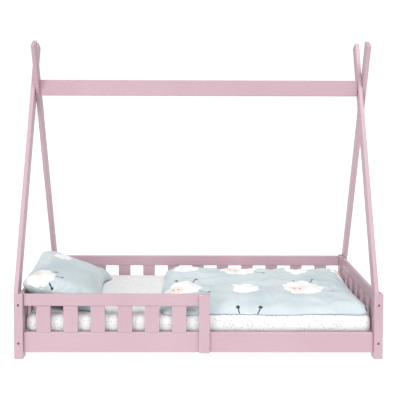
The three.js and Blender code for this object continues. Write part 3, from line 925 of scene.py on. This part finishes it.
def soft_slab(name, half, centre, corner, edge, bulge, spacing, keep_under=None):
    """A slab with plan corners, soft edges and bulging sides. keep_under cuts the bottom."""
    count = [max(2, round(2 * h / spacing)) for h in half]
    work = bmesh.new()
    verts = {}

    def vert(i, j, k):
        key = (i, j, k)
        if key not in verts:
            verts[key] = work.verts.new([
                half[a] * (2 * n / count[a] - 1) for a, n in enumerate(key)])
        return verts[key]

    for axis in range(3):
        a, b = [n for n in range(3) if n != axis]
        for side in (0, count[axis]):
            for i in range(count[a]):
                for j in range(count[b]):
                    ring = []
                    for di, dj in ((0, 0), (1, 0), (1, 1), (0, 1)):
                        key = [0, 0, 0]
                        key[axis], key[a], key[b] = side, i + di, j + dj
                        ring.append(vert(*key))
                    work.faces.new(ring)
    bmesh.ops.recalc_face_normals(work, faces=work.faces)
    if keep_under is not None:
        lost = [f for f in work.faces
                if all(abs(v.co.z + half[2]) < 1e-6 for v in f.verts)
                and all(half[0] - abs(v.co.x) > keep_under - 1e-6
                        and half[1] - abs(v.co.y) > keep_under - 1e-6 for v in f.verts)]
        bmesh.ops.delete(work, geom=lost, context="FACES")
    mesh = bpy.data.meshes.new(name)
    work.to_mesh(mesh)
    work.free()
    at = points(mesh)
    sign = np.where(at < 0, -1.0, 1.0)
    size = np.abs(at)
    over = np.maximum(size[:, :2] - (np.array(half[:2]) - corner), 0.0)
    round_x, round_y = round_off(over[:, 0], over[:, 1])
    in_corner = (over[:, 0] > 0) & (over[:, 1] > 0)
    outward = np.stack([round_x, round_y], 1)
    flat_reach = np.where(in_corner, np.hypot(round_x, round_y), over.max(1))
    depth = corner - flat_reach
    outward /= np.maximum(np.linalg.norm(outward, axis=1, keepdims=True), 1e-9)
    plan = np.minimum(size[:, :2], np.array(half[:2]) - corner)
    a = np.maximum(edge - depth, 0.0)
    b = np.maximum(size[:, 2] - (half[2] - edge), 0.0)
    new_a, new_b = round_off(a, b)
    level = size[:, 2] - b + new_b
    depth = depth + (a - new_a)
    depth = depth + bulge * (level / half[2]) ** 2 * (depth < corner * 0.9)
    plan = plan + outward * (corner - depth)[:, None]
    move_points(mesh, np.stack([plan[:, 0], plan[:, 1], level], 1) * sign + np.array(centre))
    return mesh


def smooth(piece):
    piece.data.shade_smooth()
    return piece


def applied(piece):
    """Bake the modifiers into the mesh, so that the piece is plain again."""
    seen = piece.evaluated_get(bpy.context.evaluated_depsgraph_get())
    mesh = bpy.data.meshes.new_from_object(seen)
    piece.modifiers.clear()
    old = piece.data
    piece.data = mesh
    bpy.data.meshes.remove(old)
    mesh.name = piece.name
    return piece


def finished_soft(piece):
    """One round of subdivision, applied, with smooth shading."""
    step = piece.modifiers.new("smooth", "SUBSURF")
    step.levels = step.render_levels = 1
    return smooth(applied(piece))


corner_point = round_off(np.ones(1), np.ones(1))
print("A square's corner at (1, 1) folds to", [round(float(v[0]), 3) for v in corner_point])

# %% Make the mattress and stretch the sheet over it
SOFT_EDGE = 0.031
BULGE = 0.006
FOAM_INSET = 0.0045
FOAM_STEP = 0.016
SHEET_INSET = 0.0006
SHEET_STEP = 0.014
SHEET_THICK = 0.0009
SHEET_TUCK = 0.075
CORNER_REACH = 0.16
FOAM_SHARPER = 0.003
SHEET_ROUNDER = 0.001
GATHER = 0.0010
SOFT_FOLD = 0.0014
TUG = 0.0022
PULLED_IN = 0.0008
FURTHEST_OUT = 0.0005

mat_low, mat_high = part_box("mattress")
mat_centre = centre_of("mattress")
mat_half = [(b - a) / 2 for a, b in zip(mat_low, mat_high)]
foam = soft_slab("mattress_foam", [h - FOAM_INSET for h in mat_half], mat_centre, SOFT_EDGE,
                 SOFT_EDGE - FOAM_SHARPER, BULGE, FOAM_STEP)
mattress = finished_soft(new_piece("mattress_foam", foam, ticking))
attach(mattress, "mattress")
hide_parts("mattress")

cover = soft_slab("fitted_sheet", [h - SHEET_INSET for h in mat_half], mat_centre,
                  SOFT_EDGE + SHEET_ROUNDER, SOFT_EDGE, BULGE, SHEET_STEP, keep_under=SHEET_TUCK)
fitted_sheet = new_piece("fitted_sheet", cover, sheet_cotton)


def sheet_offset(p):
    """How far the sheet stands off: gathers below, soft folds, and tugs at the corners."""
    below = max(0.0, mat_centre[2] - p[2]) / mat_half[2]
    near_end, near_side = (
        max(0.0, 1 - (mat_half[i] - abs(p[i] - mat_centre[i])) / CORNER_REACH) for i in (0, 1))
    corner_pull = (near_end * near_side) ** 0.5
    gather = GATHER * math.sin((p[0] + p[1]) * 260) * below ** 2
    soft_fold = noise_at(p[0] * 3.0, p[1] * 3.0, p[2] * 14.0) * SOFT_FOLD
    tug = noise_at(p[0] * 22.0, p[1] * 22.0, p[2] * 5.0) * TUG * corner_pull
    return min(FURTHEST_OUT, gather + soft_fold + tug - PULLED_IN)


at = points(cover)
offsets = np.array([sheet_offset(p) for p in at])
cover.vertices.foreach_set("co", (at + points(cover, "normal") * offsets[:, None]).ravel())
solid = fitted_sheet.modifiers.new("cloth", "SOLIDIFY")
solid.thickness = SHEET_THICK
solid.offset = -1.0
smooth(applied(fitted_sheet))
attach(fitted_sheet, "mattress")

# %% [markdown]
# ## Stuffed cloth
# The pillow and the duvet are two cloths sewn together at the rim and filled. A sculpted
# shape never looks quite like that, because cloth cannot stretch: it buckles along the seam
# as it fills. So the cloth simulation blows them up. The rim is pinned, the cloth is allowed
# to be a few parts in a hundred longer than the space it has, and a cap keeps every point
# close to where it started. Then the piece settles on what lies below it. The print needs to
# know where each point was on the flat cloth, so lengths are measured along the two grids.

# %% Sew two grids into a case
BACK_SHIFT = (0.17, 0.11, 0.0)


def arc_lengths(grid, axis):
    """How far each point of a grid lies from the middle line, measured along the cloth."""
    steps = np.linalg.norm(np.diff(grid, axis=axis), axis=2)
    total = np.cumsum(steps, axis=axis)
    total = np.insert(total, 0, 0.0, axis=axis)
    middle = np.take(total, [grid.shape[axis] // 2], axis=axis)
    return total - middle


def cased_pad(name, half_x, half_y, upper, lower, outline, spacing):
    """Two grids sewn at the rim. upper and lower give heights, and outline moves the plan."""
    nx, ny = round(2 * half_x / spacing), round(2 * half_y / spacing)
    u, v = np.meshgrid(np.linspace(-1, 1, nx + 1), np.linspace(-1, 1, ny + 1), indexing="ij")
    x, y = outline(u, v)
    top = np.stack([x, y, upper(u, v)], -1)
    low = np.stack([x, y, lower(u, v)], -1)
    flat = np.stack([arc_lengths(top, 0), arc_lengths(top, 1), np.zeros_like(u)], -1)
    from_x, from_y = (1 - np.abs(u)) * half_x, (1 - np.abs(v)) * half_y
    rim = np.minimum(from_x, from_y).ravel()
    run = np.where(from_x < from_y, v * half_y + 2.0, u * half_x).ravel()
    top, low, flat = (grid.reshape(-1, 3) for grid in (top, low, flat))
    inner = ~((np.abs(u) == 1) | (np.abs(v) == 1)).ravel()
    number = np.arange(len(top)).reshape(nx + 1, ny + 1)
    under = np.arange(len(top))
    under[inner] = len(top) + np.arange(inner.sum())
    under = under.reshape(nx + 1, ny + 1)
    a, b = slice(0, -1), slice(1, None)
    faces = [
        np.stack([number[a, a], number[b, a], number[b, b], number[a, b]], -1),
        np.stack([under[a, a], under[a, b], under[b, b], under[b, a]], -1)]
    faces = np.concatenate([f.reshape(-1, 4) for f in faces])
    mesh = bpy.data.meshes.new(name)
    mesh.from_pydata(np.concatenate([top, low[inner]]).tolist(), [], faces.tolist())
    mesh.update()
    mirrored = flat[inner] * np.array([1, -1, 1]) + np.array(BACK_SHIFT)
    layer = mesh.attributes.new("flat", "FLOAT_VECTOR", "POINT")
    layer.data.foreach_set("vector", np.concatenate([flat, mirrored]).ravel())
    for label, values in (("rim", rim), ("run", run)):
        mark_points(mesh, label, np.concatenate([values, values[inner]]))
    return mesh


def numbers(mesh, label):
    """One stored number for each vertex."""
    values = np.empty(len(mesh.vertices))
    mesh.attributes[label].data.foreach_get("value", values)
    return values


test_grid = np.stack([*np.meshgrid(np.arange(3.0), np.arange(3.0), indexing="ij"),
                      np.zeros((3, 3))], -1)
print("Lengths along a flat test cloth:", arc_lengths(test_grid, 0)[:, 0].tolist())

# %% Blow up a case with the cloth simulation
COTTON = {"quality": 6, "mass": 0.25, "tension_stiffness": 30, "compression_stiffness": 30,
          "shear_stiffness": 8, "bending_stiffness": 0.4, "use_pressure": True}
FRAMES = 20


def filled(piece, pressure, spare, cap):
    """Swell the case under pressure, and cap how far its points move."""
    mesh = piece.data
    before = points(mesh)
    pin = piece.vertex_groups.new(name="pin")
    pin.add([int(i) for i in np.nonzero(numbers(mesh, "rim") < 1e-6)[0]], 1.0, "REPLACE")
    cloth = piece.modifiers.new("fill", "CLOTH")
    held = cloth.settings
    for key, value in COTTON.items():
        setattr(held, key, value)
    held.uniform_pressure_force = pressure
    held.shrink_min = -spare
    held.vertex_group_mass = "pin"
    held.effector_weights.gravity = 0.0
    cloth.collision_settings.use_collision = False
    cloth.point_cache.frame_start = 1
    cloth.point_cache.frame_end = FRAMES
    scene = bpy.context.scene
    for number in range(1, FRAMES + 1):
        scene.frame_set(number)
    seen = piece.evaluated_get(bpy.context.evaluated_depsgraph_get())
    after = points(seen.data)
    piece.modifiers.clear()
    piece.vertex_groups.clear()
    scene.frame_set(1)
    moved = after - before
    far = np.linalg.norm(moved, axis=1, keepdims=True)
    eased = cap * np.tanh(far / cap) / np.maximum(far, 1e-9)
    move_points(mesh, before + moved * eased)
    print(piece.name, "swelled by up to", round(float(far.max()) * 1000, 1), "mm")
    return piece


FACING_DOWN = -0.4


def shaped(piece, shift, ground):
    """Move the points along their normals by shift, and stop them at the ground."""
    mesh = piece.data
    at, normals = points(mesh), points(mesh, "normal")
    flat = np.empty(len(at) * 3)
    mesh.attributes["flat"].data.foreach_get("vector", flat)
    rows = zip(flat.reshape(-1, 3), numbers(mesh, "rim"), numbers(mesh, "run"))
    moves = np.array([shift(*row) for row in rows])
    moves = np.where(normals[:, 2] < FACING_DOWN, 0.0, moves)
    at = at + normals * moves[:, None]
    at[:, 2] = np.maximum(at[:, 2], ground(at[:, 0], at[:, 1]))
    move_points(mesh, at)


print("Cloth simulations:", f"{FRAMES} frames each")

# %% [markdown]
# ## The duvet
# It lies on the foot half of the mattress. Its underside is flat on the sheet, and its front
# edge droops over the soft edge of the mattress. From its rim it rounds up to the full loft
# within a hand's width. The case has a sewn rim, so small puckers run in from it, and long
# soft waves cross the middle where the filling has shifted. They are added along the normals
# after the fill, where they can be steered.

# %% Make the duvet
duvet_low, duvet_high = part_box("duvet")
duvet_half = [(b - a) / 2 for a, b in zip(duvet_low, duvet_high)]
duvet_centre = centre_of("duvet")
LOFT = duvet_high[2] - duvet_low[2]
ABOVE_SHEET = 0.0003
STEEPEST = 0.96
SEAM_HEIGHT = 0.006
TOP_ALLOWANCE = 0.006
EDGE_ALLOWANCE = 0.001
ROLL = 0.066
DUVET_CORNER = 0.040
DUVET_STEP = 0.010
RIM_WIDTH = 0.045
EDGE_WAVE = 0.0025
END_WAVE = 0.004
LONG_WAVE = 0.006
CREASE = 0.026
SLANT_CREASE = 0.034
FINE_WRINKLE = 0.0016
PUCKER = 0.012


def mattress_top(x, y):
    """The height of the made mattress, which falls away at its soft edges."""
    drop = 0.0
    for at, mid, half in ((x, mat_centre[0], mat_half[0]), (y, mat_centre[1], mat_half[1])):
        over = np.clip(np.abs(at - mid) - (half - SOFT_EDGE), 0.0, SOFT_EDGE * STEEPEST)
        drop = drop + SOFT_EDGE - np.sqrt(SOFT_EDGE ** 2 - over ** 2)
    return duvet_low[2] + ABOVE_SHEET - drop


def duvet_outline(u, v):
    """The plan of the case, with rounded corners and a slightly uneven edge."""
    hx, hy = duvet_half[0] - EDGE_ALLOWANCE, duvet_half[1] - EDGE_ALLOWANCE
    x, y = np.abs(u) * hx, np.abs(v) * hy
    a = np.maximum(x - (hx - DUVET_CORNER), 0.0)
    b = np.maximum(y - (hy - DUVET_CORNER), 0.0)
    new_a, new_b = round_off(a, b)
    x, y = x - a + new_a, y - b + new_b
    wave = EDGE_WAVE * np.sin(u * 7.0 + 0.6) - EDGE_WAVE
    lean = END_WAVE * np.sin(v * 5.0 + 1.2) - END_WAVE
    x = (x + lean * np.abs(u) ** 6 * (u < 0)) * np.sign(u)
    y = (y + wave * np.abs(v) ** 6) * np.sign(v)
    return x + duvet_centre[0], y + duvet_centre[1]


def duvet_rise(u, v):
    """0 at the rim and 1 where the loft is full."""
    rise = 1.0
    for t, half in ((u, duvet_half[0]), (v, duvet_half[1])):
        near = np.minimum((1 - np.abs(t)) * half / ROLL, 1.0)
        rise = rise * np.sqrt(1 - (1 - near) ** 2)
    return rise


def duvet_top(u, v):
    ground = mattress_top(*duvet_outline(u, v))
    return ground + SEAM_HEIGHT + (LOFT - SEAM_HEIGHT - TOP_ALLOWANCE) * duvet_rise(u, v)


def duvet_bottom(u, v):
    ground = mattress_top(*duvet_outline(u, v))
    return ground + SEAM_HEIGHT * (1 - duvet_rise(u, v)) ** 2


duvet = new_piece("duvet_soft", cased_pad(
    "duvet", duvet_half[0], duvet_half[1], duvet_top, duvet_bottom, duvet_outline,
    DUVET_STEP), duvet_cotton)
filled(duvet, pressure=3.0, spare=0.04, cap=0.010)


def waves(flat, rim, run):
    """Long soft waves, slanting creases, and puckers that run in from the rim."""
    x, y = flat[0], flat[1]
    big = noise_at(x * 2.6 + 3.1, y * 3.2, 0.4) * LONG_WAVE
    ridge = (0.28 - abs(noise_at(x * 4.0 + 2.4 * y, y * 7.0 - 2.6 * x, 1.7))) * CREASE
    slant = noise_at(x * 9.0 + 5.0 * y, y * 3.2 - 1.6 * x, 6.3)
    ridge += max(0.0, 0.16 - abs(slant)) * SLANT_CREASE
    fine = noise_at(x * 19.0, y * 15.0, 2.2) * FINE_WRINKLE
    near = math.exp(-(rim / RIM_WIDTH) ** 2)
    pucker = noise_at(run * 34.0, 0.0, 0.5) ** 2 * PUCKER * near
    return big + ridge * (1 - near) + fine - pucker


shaped(duvet, waves, mattress_top)
finished_soft(duvet)
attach(duvet, "duvet")
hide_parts("duvet")
print("Duvet:", len(duvet.data.polygons), "faces")

# %% [markdown]
# ## The pillow
# It is plump right up to its ends, and its long sides pull in between the corners. The two
# corners towards the foot stick out as ears: the rear one is full, and the front one is thin.
# It leans on the head rail, so it is blown up lying level and then tipped and turned a
# little, as somebody dropped it there.

# %% Make the pillow
PILLOW_WIDTH = 0.380
PILLOW_LENGTH = 0.600
PILLOW_LOFT = 0.108
PILLOW_TILT = math.radians(21)
PILLOW_TURN = math.radians(3.9)
FOOT_PULL = 0.11
HEAD_PULL = 0.035
END_PULL = 0.03
SIDE_ROLL = 0.108
END_ROLL = 0.084
FOOT_EAR = 0.16
HEAD_EAR = -0.02
FULL_SIDE = 0.05
FULL_END = 0.03
CLOTH_ALLOWANCE = 0.004
PILLOW_STEP = 0.008
PILLOW_RIM_WIDTH = 0.04
HOLLOW = 0.0045
PILLOW_PUCKER = 0.0024


def pillow_outline(u, v):
    """The plan of the case: sides that pull in, and ears at the corners."""
    hx, hy = PILLOW_WIDTH / 2 + 0.005, PILLOW_LENGTH / 2 + 0.002
    pull = np.where(u > 0, FOOT_PULL, HEAD_PULL)
    corner = (np.abs(u) * np.abs(v)) ** 7
    ear = np.where(u > 0, FOOT_EAR, HEAD_EAR) * corner
    x = u * hx * (1 - pull * (1 - v ** 8) + ear)
    y = v * hy * (1 - END_PULL * (1 - u ** 6) + 0.2 * ear)
    return x, y


def pillow_rise(u, v):
    """Half the loft: the foot side thins out to its rim, but for its rear corner."""
    full = np.clip((u - 0.2) / 0.5, 0, 1) * np.clip((v - 0.2) / 0.5, 0, 1)
    across, along = (
        np.sqrt(1 - (1 - np.minimum((1 - np.abs(t)) * half / roll, 1.0)) ** 2)
        for t, half, roll in ((u, PILLOW_WIDTH / 2, SIDE_ROLL - FULL_SIDE * full),
                              (v, PILLOW_LENGTH / 2, END_ROLL - FULL_END * full)))
    plump = (np.maximum(across, 1e-3) ** -5 + np.maximum(along, 1e-3) ** -5) ** -0.2
    plump = np.where((across < 2e-3) | (along < 2e-3), 0.0, plump * 1.1)
    thin = (across * along) ** 0.75
    foot = np.clip(u + 0.5, 0, 1) * (1 - full)
    return (PILLOW_LOFT / 2 - CLOTH_ALLOWANCE) * (plump * (1 - foot) + thin * foot)


pillow = new_piece("pillow_soft", cased_pad(
    "pillow", PILLOW_WIDTH / 2, PILLOW_LENGTH / 2, pillow_rise,
    lambda u, v: -pillow_rise(u, v), pillow_outline, PILLOW_STEP), pillow_cotton)
filled(pillow, pressure=5.0, spare=0.03, cap=0.011)
tip = (Matrix.Translation(centre_of("pillow")) @ Matrix.Rotation(PILLOW_TURN, 4, "Z")
       @ Matrix.Rotation(PILLOW_TILT, 4, "Y"))
pillow.data.transform(tip)


def dents(flat, rim, run):
    """Shallow hollows in the middle, and puckers along the rim."""
    near = math.exp(-(rim / PILLOW_RIM_WIDTH) ** 2)
    big = noise_at(flat[0] * 7.0, flat[1] * 6.0, 5.0) * HOLLOW
    pucker = noise_at(run * 40.0, 3.0, 0.5) * PILLOW_PUCKER * near
    return big * (1 - near) + pucker


shaped(pillow, dents, mattress_top)
finished_soft(pillow)
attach(pillow, "pillow")
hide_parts("pillow")
print("Pillow:", len(pillow.data.polygons), "faces")

# %% [markdown]
# ## The studio
# A white floor that runs out of sight and a white sky make a plain bright set with no edge
# between them. The camera sees a full white sky, and the bed is lit by a dimmer one, so that
# its inner faces keep some shade. Two broad distant lamps do the rest: one from high in
# front gives the bedding its form, and a low one from the left opens up the boards that face
# the head end. Distant lamps light the rear boards as strongly as the front ones.

# %% Light it
FLOOR_REACH = 40
FLOOR_GLOW = 0.9
SKY_ON_BED = 0.62
SKY_SEEN_EXTRA = 0.42
WHITE = (1.0, 1.0, 1.0, 1.0)


def plain_floor():
    made, tree, shader = new_material("studio_floor", Roughness=0.8, Emission_Color=WHITE,
                                      Emission_Strength=FLOOR_GLOW)
    cloudy = speckle(tree, own_place(tree), 0.8, 2.0)
    tint = blend_colours(tree, cloudy, colour("787878"), colour("747474"))
    dress(tree, shader, tint)
    return made


floor_mesh = bpy.data.meshes.new("floor")
floor_mesh.from_pydata([(x * FLOOR_REACH, y * FLOOR_REACH, 0)
                        for x, y in ((-1, -1), (1, -1), (1, 1), (-1, 1))], [],
                       [(0, 1, 2, 3)])
floor = new_piece("floor", floor_mesh, plain_floor())
floor.location.z = -0.0005

world = bpy.data.worlds.new("studio")
world.use_nodes = True
sky = world.node_tree.nodes["Background"]
sky.inputs["Color"].default_value = WHITE
seen = add_node(world.node_tree, "ShaderNodeLightPath").outputs["Is Camera Ray"]
feed(world.node_tree, sky.inputs["Strength"],
     calc(world.node_tree, "MULTIPLY_ADD", seen, SKY_SEEN_EXTRA, SKY_ON_BED))
bpy.context.scene.world = world


def distant_lamp(name, place, softness, strength):
    """A lamp so far off that the rear boards get as much of it as the front ones."""
    data = bpy.data.lights.new(name, "SUN")
    data.angle = math.radians(softness)
    data.energy = strength
    made = new_piece(name, data)
    made.location = place
    made.rotation_euler = (-Vector(place)).to_track_quat("-Z", "Y").to_euler()


distant_lamp("key", (1.0, -3.0, 4.6), 35.0, 1.95)
distant_lamp("front", (-3.0, -3.8, 1.5), 25.0, 1.15)
bpy.context.scene.view_settings.view_transform = "Standard"
print("Lamps: key and front")
